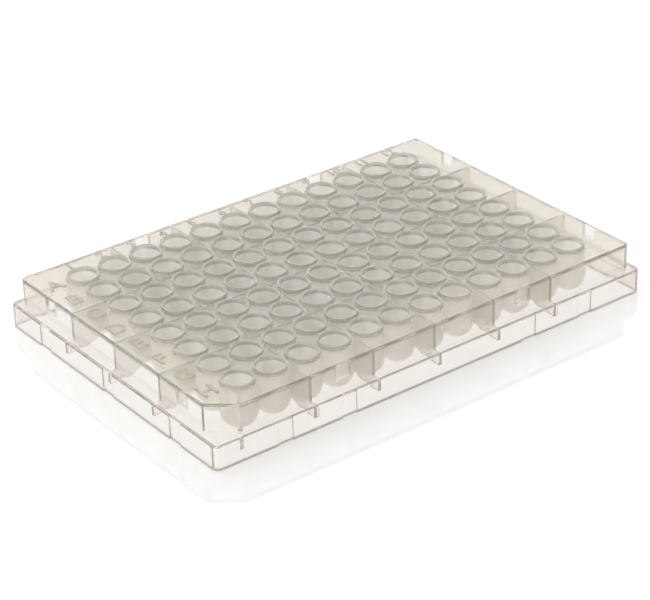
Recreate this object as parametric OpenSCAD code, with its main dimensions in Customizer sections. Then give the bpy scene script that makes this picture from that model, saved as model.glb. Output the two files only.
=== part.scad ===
// 96-well plate with round-bottomed wells, moulded in one piece.
// The origin is at the middle of the base; columns run along X, rows run along Y, and row 1 is at +Y.

/* [Base flange] */
// Length of the base flange
base_l = 127.76; // [124:0.01:150]
// Width of the base flange
base_w = 85.48; // [82:0.01:110]
// Height of the base flange
flange_h = 6.1; // [5:0.1:7.5]
// Radius of the base flange's four corners
flange_corner_r = 2; // [2:0.01:6]
// Thickness of the base flange's wall
flange_wall = 1.1; // [0.8:0.05:1.5]
// Thickness of the ledge between the flange and the upper wall
ledge_t = 0.9; // [0.7:0.05:1.5]
// Radius that rounds the ledge's outer edge
ledge_edge_r = 0.45; // [0.2:0.05:0.7]

/* [Upper wall and deck] */
// How far the upper wall is set in from the flange
wall_inset = 2.2; // [1.6:0.05:2.6]
// Thickness of the upper wall
upper_wall = 0.9; // [0.7:0.05:1.2]
// Radius of the upper wall's three round corners
upper_corner_r = 1.5; // [1.3:0.1:3]
// Length of the orientation chamfer along X, at the last row of column 1
chamfer_x = 6.4; // [4:0.1:7]
// Length of the orientation chamfer along Y, at the last row of column 1
chamfer_y = 5.6; // [4:0.1:7]
// Height of the deck's upper face above the base
deck_h = 12.9; // [12:0.1:18]
// Thickness of the deck
deck_t = 1; // [0.7:0.05:1.5]
// Radius that rounds the deck's outer edge
deck_edge_r = 0.4; // [0.2:0.05:0.7]

/* [Wells] */
// Number of columns of wells
columns = 12; // [4:2:12]
// Number of rows of wells
rows = 8; // [4:2:8]
// Distance from one well's axis to the next
pitch = 9; // [8.9:0.01:9.2]
// Inner diameter of a well
well_d = 6.8; // [6:0.1:7.1]
// Thickness of a well's wall and bottom
well_wall = 0.85; // [0.6:0.05:0.9]
// Height of the wells' rims above the deck
rim_h = 0.6; // [0.3:0.05:1]
// Thickness of a rim's wall, not more than that of the well's
rim_wall = 0.55; // [0.5:0.05:0.6]
// Width of the chamfer inside a well's rim
rim_chamfer = 0.15; // [0.1:0.05:0.4]
// Height of the wells' outer bottoms above the base
well_clear = 1.4; // [0.8:0.1:2.5]

/* [Ribs] */
// Thickness of the ribs under the deck
rib_t = 0.8; // [0.6:0.05:1.2]
// Number of pitches from one rib to the next
rib_step = 2; // [2:2:4]
// Height of the ribs' lower edges above the base, between the wells
rib_clear = 4.2; // [3.5:0.1:6]
// Height of the ribs' lower edges above the base, at the flange
rib_foot = 2.7; // [2:0.1:3.4]
// Length of the level foot of a rib, measured from the flange's inner face
rib_foot_l = 4.9; // [3:0.1:6]
// Length of a rib's slope, from its foot up to its level edge
rib_slope_l = 3.8; // [2:0.1:5]
// Diameter of the thickened end of the outermost ribs on the long sides
rib_boss_d = 1.5; // [1.3:0.1:2]
// Direction of the corner rib, from the -Y direction towards -X
corner_rib_angle = 34.5; // [30:0.5:40]

/* [Slots and recesses] */
// Width of the slots in the upper wall and of the recesses in the flange
slot_w = 4.2; // [3:0.1:5]
// Distance of the slots from the middle of each side
slot_offset = 27; // [22:0.5:30]
// Height of the slots' lower edges above the base
slot_low = 8.6; // [8:0.1:9.8]
// Depth of the recesses in the flange and in the deck's edge
recess_depth = 0.35; // [0.2:0.05:0.5]
// Distance of the outer recesses from the middle of a long side
outer_recess_offset = 45; // [40:0.5:50]

/* [Hidden] */
$fn = 64;
// Overlap that makes cuts pass cleanly through a face
over = 1;
half_l = base_l / 2;
half_w = base_w / 2;
upper_half_l = half_l - wall_inset;
upper_half_w = half_w - wall_inset;
well_r = well_d / 2;
tube_r = well_r + well_wall;
rim_r = well_r + rim_wall;
rim_top = deck_h + rim_h;
bowl_z = well_clear + tube_r;
deck_under = deck_h - deck_t;
ledge_under = flange_h - ledge_t;
column_xs = [for (i = [0 : columns - 1]) (i - (columns - 1) / 2) * pitch];
row_ys = [for (j = [0 : rows - 1]) ((rows - 1) / 2 - j) * pitch];
rib_xs = [for (k = [rib_step : rib_step : columns - 1]) (k - columns / 2) * pitch];
rib_ys = [for (k = [rib_step : rib_step : rows - 1]) (rows / 2 - k) * pitch];
slot_places = [-slot_offset, slot_offset];
round_corners = [[1, 1, 0], [-1, 1, 90], [1, -1, 270]];
all_corners = concat(round_corners, [[-1, -1, 180]]);
flange_recess_xs = [-outer_recess_offset, -slot_offset, slot_offset, outer_recess_offset];
flange_recess_ys = [-slot_offset, 0, slot_offset];

// A rectangle about the origin, with round corners
module round_rectangle(half_x, half_y, r) {
    square([2 * half_x, 2 * (half_y - r)], center = true);
    square([2 * (half_x - r), 2 * half_y], center = true);
    for (sx = [-1, 1], sy = [-1, 1]) translate([sx * (half_x - r), sy * (half_y - r)]) circle(r);
}

// The upper wall's outline, moved inwards by inset: round corners, and the chamfer at -X -Y
module upper_outline(inset) {
    half_x = upper_half_l - inset;
    half_y = upper_half_w - inset;
    slant = inset * sqrt(1 / pow(chamfer_x, 2) + 1 / pow(chamfer_y, 2));
    cut_x = chamfer_x * (1 + slant - inset / chamfer_y) - inset;
    cut_y = chamfer_y * (1 + slant - inset / chamfer_x) - inset;
    difference() {
        round_rectangle(half_x, half_y, upper_corner_r - inset);
        polygon([
            [-half_x - over, -half_y - over],
            [-half_x + cut_x + over * cut_x / cut_y, -half_y - over],
            [-half_x - over, -half_y + cut_y + over * cut_y / cut_x]
        ]);
    }
}

// Section of a cut that rounds an edge at the origin, whose material lies towards -X and -Y
module rounding(r) {
    difference() {
        translate([-r, -r]) square(r + over);
        translate([-r, -r]) circle(r);
    }
}

// Rounds the top edge of a face that stands across +X at reach
module side_rounding(reach, length, r) {
    translate([reach, length / 2]) rotate([90, 0, 0]) linear_extrude(length) rounding(r);
}

// Rounds the top edge of a rectangle's four sides
module sides_rounding(half_x, half_y, r) {
    for (turn = [0, 180]) rotate(turn) side_rounding(half_x, 2 * (half_y + over), r);
    for (turn = [90, 270]) rotate(turn) side_rounding(half_y, 2 * (half_x + over), r);
}

// Rounds the top edge of the listed corners, each given as [side along X, side along Y, start angle]
module corners_rounding(corners, half_x, half_y, corner_r, r) {
    for (c = corners)
        translate([c[0] * (half_x - corner_r), c[1] * (half_y - corner_r)])
            rotate(c[2]) rotate_extrude(angle = 90) translate([corner_r, 0]) rounding(r);
}

// Rounds the top edge of the orientation chamfer
module chamfer_rounding(r) {
    translate([chamfer_x / 2 - upper_half_l, chamfer_y / 2 - upper_half_w])
        rotate(180 + atan2(chamfer_x, chamfer_y))
            side_rounding(0, norm([chamfer_x, chamfer_y]) + 2 * over, r);
}

// The cuts that round the ledge's and the deck's outer edges
module edge_cuts() {
    translate([0, 0, flange_h]) {
        sides_rounding(half_l, half_w, ledge_edge_r);
        corners_rounding(all_corners, half_l, half_w, flange_corner_r, ledge_edge_r);
    }
    translate([0, 0, deck_h]) {
        sides_rounding(upper_half_l, upper_half_w, deck_edge_r);
        corners_rounding(round_corners, upper_half_l, upper_half_w, upper_corner_r, deck_edge_r);
        chamfer_rounding(deck_edge_r);
    }
}

// The flange with its ledge, and the upper wall with the deck
module shell() {
    difference() {
        linear_extrude(flange_h) round_rectangle(half_l, half_w, flange_corner_r);
        translate([0, 0, -over])
            linear_extrude(ledge_under + over)
                round_rectangle(half_l - flange_wall, half_w - flange_wall, flange_corner_r - flange_wall);
        linear_extrude(flange_h + over) upper_outline(upper_wall);
    }
    difference() {
        translate([0, 0, ledge_under]) linear_extrude(deck_h - ledge_under) upper_outline(0);
        linear_extrude(deck_under) upper_outline(upper_wall);
    }
}

// The outside of one well: a tube with a round bottom
module tube() {
    translate([0, 0, bowl_z]) {
        sphere(tube_r);
        cylinder(h = deck_h - deck_t / 2 - bowl_z, r = tube_r);
        cylinder(h = rim_top - bowl_z, r = rim_r);
    }
}

// The inside of one well, with the chamfer of its rim
module bore() {
    translate([0, 0, bowl_z]) sphere(well_r);
    translate([0, 0, bowl_z]) cylinder(h = rim_top + over - bowl_z, r = well_r);
    translate([0, 0, rim_top - rim_chamfer])
        cylinder(h = rim_chamfer + over, r1 = well_r, r2 = well_r + rim_chamfer + over);
}

// The side view of a rib that runs outwards from inner to the middle of the flange's wall at reach.
// Its lower edge is level between the wells, then slopes down to a level foot at the flange.
// Its upper edge lies in the deck as far as the upper wall at wall_reach, and beyond it in the ledge.
module rib_side(reach, wall_reach, inner = 0) {
    foot = reach - flange_wall / 2 - rib_foot_l;
    polygon([
        [inner, rib_clear],
        [foot - rib_slope_l, rib_clear],
        [foot, rib_foot],
        [reach, rib_foot],
        [reach, ledge_under + ledge_t / 2],
        [wall_reach, ledge_under + ledge_t / 2],
        [wall_reach, deck_under + deck_t / 2],
        [inner, deck_under + deck_t / 2]
    ]);
}

// One rib plate along +X, standing on the XZ plane
module rib(reach, wall_reach, inner = 0) {
    rotate([90, 0, 0])
        translate([0, 0, -rib_t / 2])
            linear_extrude(rib_t) rib_side(reach, wall_reach, inner);
}

// The ribs across the plate and along it, with the thickened ends on the long sides
module ribs() {
    reach_x = half_l - flange_wall / 2;
    reach_y = half_w - flange_wall / 2;
    wall_x = upper_half_l - upper_wall / 2;
    wall_y = upper_half_w - upper_wall / 2;
    for (y = rib_ys, turn = [0, 180]) translate([0, y, 0]) rotate(turn) rib(reach_x, wall_x);
    for (x = rib_xs, turn = [90, 270]) translate([x, 0, 0]) rotate(turn) rib(reach_y, wall_y);
    for (x = [rib_xs[0], rib_xs[len(rib_xs) - 1]], side = [-1, 1])
        translate([x, side * (half_w - flange_wall), rib_foot])
            cylinder(h = ledge_under - rib_foot + ledge_t / 2, d = rib_boss_d);
}

// The rib from the last well of column 1 out to the flange, beside the chamfer
module corner_rib() {
    lean = cos(corner_rib_angle);
    to_flange = (half_w - flange_wall / 2 + row_ys[rows - 1]) / lean;
    to_wall = (upper_half_w - upper_wall / 2 + row_ys[rows - 1]) / lean;
    translate([column_xs[0], row_ys[rows - 1], 0])
        rotate(-90 - corner_rib_angle) rib(to_flange, to_wall, well_r + well_wall / 2);
}

// Cuts from the outside into all four sides, at the listed places along the long and the short ones
module side_cuts(long_places, short_places, long_face, short_face, depth, low, high) {
    for (x = long_places, side = [-1, 1])
        translate([x - slot_w / 2, side > 0 ? long_face - depth : -long_face - over, low])
            cube([slot_w, depth + over, high - low]);
    for (y = short_places, side = [-1, 1])
        translate([side > 0 ? short_face - depth : -short_face - over, y - slot_w / 2, low])
            cube([depth + over, slot_w, high - low]);
}

// The slots through the upper wall, under the deck
module slots() {
    side_cuts(slot_places, slot_places, upper_half_w, upper_half_l,
              upper_wall + over, slot_low, deck_under);
}

// The shallow recesses in the deck's edge above each slot, and those in the flange
module recesses() {
    side_cuts(slot_places, slot_places, upper_half_w, upper_half_l,
              recess_depth, deck_under - over, deck_h + over);
    side_cuts(flange_recess_xs, flange_recess_ys, half_w, half_l,
              recess_depth, -over, flange_h + over);
}

module plate() {
    color([0.93, 0.92, 0.88])
        difference() {
            union() {
                difference() {
                    shell();
                    edge_cuts();
                }
                ribs();
                corner_rib();
                for (x = column_xs, y = row_ys) translate([x, y, 0]) tube();
            }
            for (x = column_xs, y = row_ys) translate([x, y, 0]) bore();
            slots();
            recesses();
        }
}

plate();
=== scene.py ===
# A 96-well plate in natural, translucent polypropylene, on a plain white studio floor.
import math

import bmesh
import bpy
from mathutils import Matrix, Vector


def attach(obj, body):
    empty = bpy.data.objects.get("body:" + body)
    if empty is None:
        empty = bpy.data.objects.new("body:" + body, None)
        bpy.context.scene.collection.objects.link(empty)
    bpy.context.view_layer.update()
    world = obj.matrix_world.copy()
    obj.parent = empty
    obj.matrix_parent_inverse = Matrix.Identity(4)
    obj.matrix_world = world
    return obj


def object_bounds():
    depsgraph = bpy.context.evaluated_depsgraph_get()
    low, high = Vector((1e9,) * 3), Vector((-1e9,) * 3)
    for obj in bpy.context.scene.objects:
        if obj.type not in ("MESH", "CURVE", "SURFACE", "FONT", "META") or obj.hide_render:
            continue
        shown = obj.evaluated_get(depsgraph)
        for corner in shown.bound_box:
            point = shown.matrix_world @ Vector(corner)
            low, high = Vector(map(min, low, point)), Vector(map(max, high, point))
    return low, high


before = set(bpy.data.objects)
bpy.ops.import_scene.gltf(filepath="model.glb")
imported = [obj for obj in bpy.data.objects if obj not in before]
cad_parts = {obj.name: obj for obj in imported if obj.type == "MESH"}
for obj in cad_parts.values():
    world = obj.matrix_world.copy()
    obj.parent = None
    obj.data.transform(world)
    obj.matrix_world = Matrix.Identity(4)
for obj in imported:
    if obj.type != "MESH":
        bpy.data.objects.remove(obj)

CAD_LOW, CAD_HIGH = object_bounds()
MM = 0.001

# The well grid, as in the standard for such plates
PITCH = 9.0 * MM
COLUMNS = 12
ROWS = 8

# The upper wall and the deck, as in the part's source.
# A margin keeps the border between two finishes just off the face.
WALL_INSET = 2.2 * MM
UPPER_WALL = 0.9 * MM
WALL_MARGIN = 0.08 * MM
RIM_HEIGHT = 0.6 * MM
DECK_THICKNESS = 1.0 * MM
DECK_MARGIN = 0.05 * MM
UPPER_HALF_X = CAD_HIGH.x - WALL_INSET
UPPER_HALF_Y = CAD_HIGH.y - WALL_INSET
INNER_HALF_X = UPPER_HALF_X - UPPER_WALL - WALL_MARGIN
INNER_HALF_Y = UPPER_HALF_Y - UPPER_WALL - WALL_MARGIN
DECK_TOP = CAD_HIGH.z - RIM_HEIGHT
DECK_UNDER = DECK_TOP - DECK_THICKNESS - DECK_MARGIN

# The orientation chamfer's legs. At CHAMFER_LIMIT the webs end: 1 is the line between the legs' ends.
CHAMFER_X = 6.4 * MM
CHAMFER_Y = 5.6 * MM
CHAMFER_LIMIT = 0.92

# Raised labels: heights of the text, and offsets from the axes of column 1 and row A.
# CAP_SHARE is a capital's height in the font, for a size of 1.
LETTER_HEIGHT = 4.4 * MM
LETTER_OFFSET = 8.0 * MM
NUMBER_HEIGHT = 2.8 * MM
NUMBER_OFFSET = 6.0 * MM
CAP_SHARE = 0.7
LABEL_RISE = 0.25 * MM
LABEL_SINK = 0.06 * MM
LABEL_SWELL = 0.03 * MM
LABEL_WELD = 0.001 * MM
LABEL_CURVE_STEPS = 4

# Camera: it looks along CAMERA_YAW, counted from +Y towards +X, and down by CAMERA_PITCH
CAMERA_YAW = math.radians(37.08)
CAMERA_PITCH = math.radians(28.77)
CAMERA_ROLL = math.radians(-1.48)
CAMERA_TARGET = Vector((-6.01, -6.67, 7.0)) * MM
CAMERA_DISTANCE = 547.63 * MM
CAMERA_LENS_MM = 126.85
SENSOR_MM = 36.0
CAMERA_RANGE = (0.01, 20.0)

# Faces of clear and of milky plastic that one ray may cross.
# Filtered gloss would darken the clear plastic, so the filter is off.
CLEAR_LAYERS = 64
MILKY_LAYERS = 16
GLOSS_FILTER = 0.0

# Polypropylene: colour, roughness and clearness of each zone. Some zones' colours are painted shade or
# painted light.
WALL = ((0.935, 0.9, 0.86), 0.1, 0.9)
# Painted shade: the webs inside the wall and under the deck are darker than the wall.
WEB_SHADE = ((0.84, 0.82, 0.77), 0.2, 0.85)
TUBE = ((0.9, 0.885, 0.85), 0.25, 0.78)
DECK = ((0.91, 0.89, 0.835), 0.12, 0.95)
# Painted shade: the deck between the wells is darker, most towards the middle of the grid.
FIELD_SHADE = ((0.88, 0.865, 0.82), 0.15, 0.93)
# Painted shade: a dark ring over the rims and down the top of each bore.
RIM_SHADE = ((0.7, 0.685, 0.64), 0.15, 0.6)
# Painted light: the bores under the rims are near white, brighter than the plastic elsewhere.
BORE_LIGHT = ((0.998, 0.99, 0.975), 0.1, 0.45)
# Painted contact shadow: a dark line along the bottom edge, on a rough matt foot.
FOOT_SHADOW = ((0.6, 0.58, 0.55), 0.5, 0.7)
# Painted shade: a dark band along the deck's outer edge.
BRINK_SHADE = ((0.65, 0.63, 0.59), 0.2, 0.88)
# Painted shade: the raised labels are darker, so that they read as shaded strokes.
LABEL_SHADE = ((0.76, 0.74, 0.69), 0.2, 0.88)
FINISHES = (WALL, WEB_SHADE, TUBE, DECK, FIELD_SHADE, LABEL_SHADE, RIM_SHADE, BORE_LIGHT, FOOT_SHADOW, BRINK_SHADE)

# Where the zones end: radii from a well's axis, heights above the base, and the deck edge's width
TUBE_RADIUS = 4.4 * MM
LABEL_FOOT = DECK_TOP + 0.02 * MM
RIM_FOOT = 12.5 * MM
RIM_RADIUS = 4.0 * MM
BORE_RADIUS = 3.45 * MM
FOOT_TOP = 0.3 * MM
BRINK_WIDTH = 0.25 * MM

# The plastic's depth, the drift of gloss and clearness along the flow, and the fine relief of its skin
PLASTIC_IOR = 1.49
DEPTH_COLOUR = (0.85, 0.83, 0.77)
DEPTH_DENSITY = 30.0
FLOW_GRAIN = 14.0 * MM
FLOW_DETAIL = 2.0
ROUGHNESS_SPREAD = 0.3
CLEARNESS_SPREAD = 0.05
SKIN_GRAIN = 1.5 * MM
SKIN_DETAIL = 3.0
SKIN_DEPTH = 0.004 * MM
SKIN_STRENGTH = 1.0

# The floor. CAMERA_GLOW is the share of plain white that the camera sees in it.
FLOOR_HALF = 3.0
FLOOR_Z = -0.05 * MM
WHITE = (1.0, 1.0, 1.0, 1.0)
FLOOR_COLOUR = (0.98, 0.98, 0.98, 1.0)
FLOOR_ROUGHNESS = 0.05
FLOOR_IOR = 2.5
CAMERA_GLOW = 0.3

# The dome's strength at the horizon, overhead, and low down on the dark side.
# The spans say where a change begins and ends: in height, and in nearness to the dark side.
SIDE_LIGHT = 1.0
TOP_LIGHT = 1.35
FRONT_LIGHT = 0.4
DARK_SIDE = (0.6, -0.75, 0.28)
RISE_SPAN = (0.0, 0.9)
DARK_SPAN = (0.2, 0.9)


def node(tree, kind, **sockets):
    """Adds a shader node, and sets the named input sockets to plain values."""
    made = tree.nodes.new(kind)
    for name, value in sockets.items():
        made.inputs[name.replace("_", " ")].default_value = value
    return made


def math_node(tree, operation, first, second=None, third=None, clamp=False):
    """Adds a Math node. Each operand is a number or another node's output."""
    made = tree.nodes.new("ShaderNodeMath")
    made.operation = operation
    made.use_clamp = clamp
    for socket, value in zip(made.inputs, (first, second, third)):
        if value is None:
            continue
        if isinstance(value, (int, float)):
            socket.default_value = value
        else:
            tree.links.new(value, socket)
    return made.outputs[0]


# The Mix node's sockets A, B and Result for numbers and for colours
MIX_SOCKETS = {"FLOAT": (2, 3, 0), "RGBA": (6, 7, 2)}


def new_material(name):
    """An empty node material, with its output node."""
    material = bpy.data.materials.new(name)
    material.use_nodes = True
    material.node_tree.nodes.clear()
    output = material.node_tree.nodes.new("ShaderNodeOutputMaterial")
    return material, material.node_tree, output


def plate_zones(tree):
    """Masks that lie over each other in this order: the webs inside the wall and under the deck, darkened as
    painted shade, the tubes, the deck, the deck between the wells, darkened as painted shade most towards the
    middle, the labels and the rims, darkened as painted shade, the bores, brightened as painted light, the
    foot that the plate stands on, darkened as a painted contact shadow, and the deck's outer edge, darkened
    as painted shade."""
    split = tree.nodes.new("ShaderNodeSeparateXYZ")
    tree.links.new(tree.nodes.new("ShaderNodeTexCoord").outputs["Object"], split.inputs[0])
    x, y, z = split.outputs

    def gap(position, half):
        return math_node(tree, "SUBTRACT", half, math_node(tree, "ABSOLUTE", position))

    def both(*masks):
        level = masks[0]
        for mask in masks[1:]:
            level = math_node(tree, "MULTIPLY", level, mask)
        return level

    def above(value, limit):
        return math_node(tree, "GREATER_THAN", value, limit)

    def below(value, limit):
        return math_node(tree, "LESS_THAN", value, limit)

    def from_axis(position):
        shifted = math_node(tree, "ADD", position, COLUMNS * PITCH)
        return math_node(tree, "SUBTRACT", math_node(tree, "MODULO", shifted, PITCH), PITCH / 2)

    gap_x, gap_y = gap(x, INNER_HALF_X), gap(y, INNER_HALF_Y)
    to_corner = math_node(
        tree, "ADD",
        math_node(tree, "DIVIDE", gap_x, CHAMFER_X), math_node(tree, "DIVIDE", gap_y, CHAMFER_Y),
    )
    inside = both(above(gap_x, 0.0), above(gap_y, 0.0), above(to_corner, CHAMFER_LIMIT))
    upper_edge = math_node(tree, "MINIMUM", gap(x, UPPER_HALF_X), gap(y, UPPER_HALF_Y))
    grid_edge = math_node(tree, "MINIMUM", gap(x, COLUMNS * PITCH / 2), gap(y, ROWS * PITCH / 2))
    grid = above(grid_edge, 0.0)
    # Painted shade: the darker deck fades in from the grid's edge to half a pitch inside it.
    centre_shade = math_node(tree, "DIVIDE", grid_edge, PITCH / 2, clamp=True)
    across, along = from_axis(x), from_axis(y)
    along_squared = math_node(tree, "MULTIPLY", along, along)
    radius = math_node(tree, "SQRT", math_node(tree, "MULTIPLY_ADD", across, across, along_squared))
    deck = above(z, DECK_UNDER)
    # The webs, the deck between the wells, the labels, the rims, the foot and the deck's edge carry painted
    # shade; the bores carry painted light.
    return (
        both(inside, below(z, DECK_UNDER)),
        both(grid, below(radius, TUBE_RADIUS)),
        deck,
        both(centre_shade, deck),
        both(below(grid_edge, 0.0), above(z, LABEL_FOOT)),
        both(grid, below(radius, RIM_RADIUS), above(z, RIM_FOOT)),
        both(grid, below(radius, BORE_RADIUS), below(z, RIM_FOOT)),
        below(z, FOOT_TOP),
        both(below(upper_edge, BRINK_WIDTH), deck),
    )


def make_polypropylene():
    """Natural polypropylene: clear in a thin wall, milky in the wells, with a fine moulded skin.
    Its zones carry painted shade on the webs, the deck between the wells, the labels, the rims, the foot and
    the deck's edge, and painted light in the bores.
    """
    material, tree, output = new_material("polypropylene")
    zones = plate_zones(tree)

    def layer(kind, column):
        """The value of one socket over the whole plate, from the column of FINISHES that gives it."""
        first, second, result = MIX_SOCKETS[kind]
        level = FINISHES[0][column]
        for zone, finish in zip(zones, FINISHES[1:]):
            mix = tree.nodes.new("ShaderNodeMix")
            mix.data_type = kind
            tree.links.new(zone, mix.inputs[0])
            for socket, value in ((first, level), (second, finish[column])):
                if isinstance(value, bpy.types.NodeSocket):
                    tree.links.new(value, mix.inputs[socket])
                else:
                    mix.inputs[socket].default_value = (*value, 1.0) if kind == "RGBA" else value
            level = mix.outputs[result]
        return level

    def noise(grain, detail):
        made = node(tree, "ShaderNodeTexNoise", Scale=1.0 / grain, Detail=detail)
        tree.links.new(tree.nodes.new("ShaderNodeTexCoord").outputs["Object"], made.inputs["Vector"])
        return made.outputs["Fac"]

    def varied(value, cloud, spread):
        """The value times a factor that drifts with the noise, to either side of 1."""
        factor = math_node(tree, "MULTIPLY_ADD", cloud, 2.0 * spread, 1.0 - spread)
        return math_node(tree, "MULTIPLY", value, factor, clamp=True)

    flow = noise(FLOW_GRAIN, FLOW_DETAIL)
    skin = node(tree, "ShaderNodeBump", Strength=SKIN_STRENGTH, Distance=SKIN_DEPTH)
    tree.links.new(noise(SKIN_GRAIN, SKIN_DETAIL), skin.inputs["Height"])
    plastic = node(tree, "ShaderNodeBsdfPrincipled", IOR=PLASTIC_IOR)
    tree.links.new(layer("RGBA", 0), plastic.inputs["Base Color"])
    tree.links.new(varied(layer("FLOAT", 1), flow, ROUGHNESS_SPREAD), plastic.inputs["Roughness"])
    tree.links.new(varied(layer("FLOAT", 2), flow, CLEARNESS_SPREAD), plastic.inputs["Transmission Weight"])
    tree.links.new(skin.outputs["Normal"], plastic.inputs["Normal"])
    tree.links.new(plastic.outputs[0], output.inputs["Surface"])
    depth = node(tree, "ShaderNodeVolumeAbsorption", Color=(*DEPTH_COLOUR, 1.0), Density=DEPTH_DENSITY)
    tree.links.new(depth.outputs[0], output.inputs["Volume"])
    return material


def mix_shaders(tree, share, first, second):
    """Adds a Mix Shader node: the share says how much of the second one shows."""
    mix = tree.nodes.new("ShaderNodeMixShader")
    for socket, source in zip(mix.inputs, (share, first.outputs[0], second.outputs[0])):
        tree.links.new(source, socket)
    return mix


def make_floor_material():
    """White acrylic: matt white with a faint mirror image. Seen through the plastic, it is plain white.
    It can't be seen from below."""
    material, tree, output = new_material("white_floor")
    white = node(
        tree, "ShaderNodeBsdfPrincipled",
        Base_Color=FLOOR_COLOUR, Roughness=FLOOR_ROUGHNESS, IOR=FLOOR_IOR,
    )
    glow = node(tree, "ShaderNodeEmission", Color=WHITE, Strength=1.0)
    light_path = tree.nodes.new("ShaderNodeLightPath").outputs
    through = math_node(tree, "MAXIMUM", light_path["Is Transmission Ray"], light_path["Is Glossy Ray"])
    share = math_node(tree, "MULTIPLY_ADD", light_path["Is Camera Ray"], CAMERA_GLOW, through, clamp=True)
    top = mix_shaders(tree, share, white, glow)
    from_below = tree.nodes.new("ShaderNodeNewGeometry").outputs["Backfacing"]
    both_sides = mix_shaders(tree, from_below, top, tree.nodes.new("ShaderNodeBsdfTransparent"))
    tree.links.new(both_sides.outputs[0], output.inputs["Surface"])
    return material


def make_floor():
    """The floor that the plate stands on."""
    mesh = bpy.data.meshes.new("floor")
    sides = ((-1, -1), (1, -1), (1, 1), (-1, 1))
    corners = [(x * FLOOR_HALF, y * FLOOR_HALF, FLOOR_Z) for x, y in sides]
    mesh.from_pydata(corners, [], [(0, 1, 2, 3)])
    floor = bpy.data.objects.new("floor", mesh)
    bpy.context.scene.collection.objects.link(floor)
    mesh.materials.append(make_floor_material())


def light_studio():
    """A soft white dome over the table. It is darker low down on the side where the photographer stands."""
    world = bpy.data.worlds.new("studio")
    world.use_nodes = True
    bpy.context.scene.world = world
    tree = world.node_tree
    direction = tree.nodes.new("ShaderNodeTexCoord").outputs["Generated"]
    height = tree.nodes.new("ShaderNodeSeparateXYZ")
    tree.links.new(direction, height.inputs[0])
    facing = tree.nodes.new("ShaderNodeVectorMath")
    facing.operation = "DOT_PRODUCT"
    facing.inputs[1].default_value = DARK_SIDE
    tree.links.new(direction, facing.inputs[0])

    def blend(source, span, at_low, at_high):
        made = node(
            tree, "ShaderNodeMapRange",
            From_Min=span[0], From_Max=span[1], To_Min=at_low, To_Max=at_high,
        )
        made.interpolation_type = "SMOOTHSTEP"
        tree.links.new(source, made.inputs["Value"])
        return made.outputs["Result"]

    level = math_node(
        tree, "MULTIPLY",
        blend(height.outputs["Z"], RISE_SPAN, SIDE_LIGHT, TOP_LIGHT),
        blend(facing.outputs["Value"], DARK_SPAN, 1.0, FRONT_LIGHT),
    )
    background = tree.nodes["Background"]
    background.inputs["Color"].default_value = WHITE
    tree.links.new(level, background.inputs["Strength"])


def add_camera():
    """The camera at the photograph's viewing angle."""
    forward = Vector((
        math.sin(CAMERA_YAW) * math.cos(CAMERA_PITCH),
        math.cos(CAMERA_YAW) * math.cos(CAMERA_PITCH),
        -math.sin(CAMERA_PITCH),
    ))
    level = Vector((math.cos(CAMERA_YAW), -math.sin(CAMERA_YAW), 0.0))
    upright = level.cross(forward)
    right = math.cos(CAMERA_ROLL) * level + math.sin(CAMERA_ROLL) * upright
    up = right.cross(forward)
    data = bpy.data.cameras.new("camera")
    data.sensor_width = SENSOR_MM
    data.lens = CAMERA_LENS_MM
    data.clip_start, data.clip_end = CAMERA_RANGE
    camera = bpy.data.objects.new("camera", data)
    bpy.context.scene.collection.objects.link(camera)
    camera.matrix_world = (
        Matrix.Translation(CAMERA_TARGET - forward * CAMERA_DISTANCE)
        @ Matrix((right, up, -forward)).transposed().to_4x4()
    )
    bpy.context.scene.camera = camera


def well_labels():
    """The raised row letters and column numbers on the deck's margins: each one's text, middle and height."""
    first_x, first_y = (1 - COLUMNS) * PITCH / 2, (ROWS - 1) * PITCH / 2
    for row in range(ROWS):
        yield chr(ord("A") + row), first_x - LETTER_OFFSET, first_y - row * PITCH, LETTER_HEIGHT
    for column in range(COLUMNS):
        yield str(column + 1), first_x + column * PITCH, first_y + NUMBER_OFFSET, NUMBER_HEIGHT


def make_labels(plastic):
    """All raised labels in one mesh, a little sunk into the deck."""
    together = bmesh.new()
    for text, x, y, height in well_labels():
        curve = bpy.data.curves.new("label", "FONT")
        curve.body = text
        curve.align_x, curve.align_y = "CENTER", "CENTER"
        curve.size = height / CAP_SHARE
        curve.resolution_u = LABEL_CURVE_STEPS
        curve.offset = LABEL_SWELL
        curve.extrude = (LABEL_RISE + LABEL_SINK) / 2
        middle = Vector((x, y, DECK_TOP + (LABEL_RISE - LABEL_SINK) / 2))
        letter = bpy.data.objects.new("label", curve)
        bpy.context.scene.collection.objects.link(letter)
        bpy.context.view_layer.update()
        mesh = bpy.data.meshes.new_from_object(letter)
        mesh.transform(Matrix.Translation(middle))
        together.from_mesh(mesh)
        bpy.data.objects.remove(letter)
        bpy.data.curves.remove(curve)
        bpy.data.meshes.remove(mesh)
    bmesh.ops.remove_doubles(together, verts=together.verts, dist=LABEL_WELD)
    bmesh.ops.recalc_face_normals(together, faces=together.faces)
    mesh = bpy.data.meshes.new("well_labels")
    together.to_mesh(mesh)
    together.free()
    mesh.materials.append(plastic)
    labels = bpy.data.objects.new("well_labels", mesh)
    bpy.context.scene.collection.objects.link(labels)
    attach(labels, "root")


def dress_plate(plastic):
    """Gives the CAD plate its plastic."""
    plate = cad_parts["plate"]
    plate.data.materials.clear()
    plate.data.materials.append(plastic)


scene = bpy.context.scene
scene.view_settings.view_transform = "Standard"
scene.cycles.max_bounces = CLEAR_LAYERS
scene.cycles.transmission_bounces = CLEAR_LAYERS
scene.cycles.glossy_bounces = CLEAR_LAYERS
scene.cycles.diffuse_bounces = MILKY_LAYERS
scene.cycles.blur_glossy = GLOSS_FILTER
scene.cycles.transparent_max_bounces = CLEAR_LAYERS

add_camera()
light_studio()
make_floor()
polypropylene = make_polypropylene()
dress_plate(polypropylene)
make_labels(polypropylene)
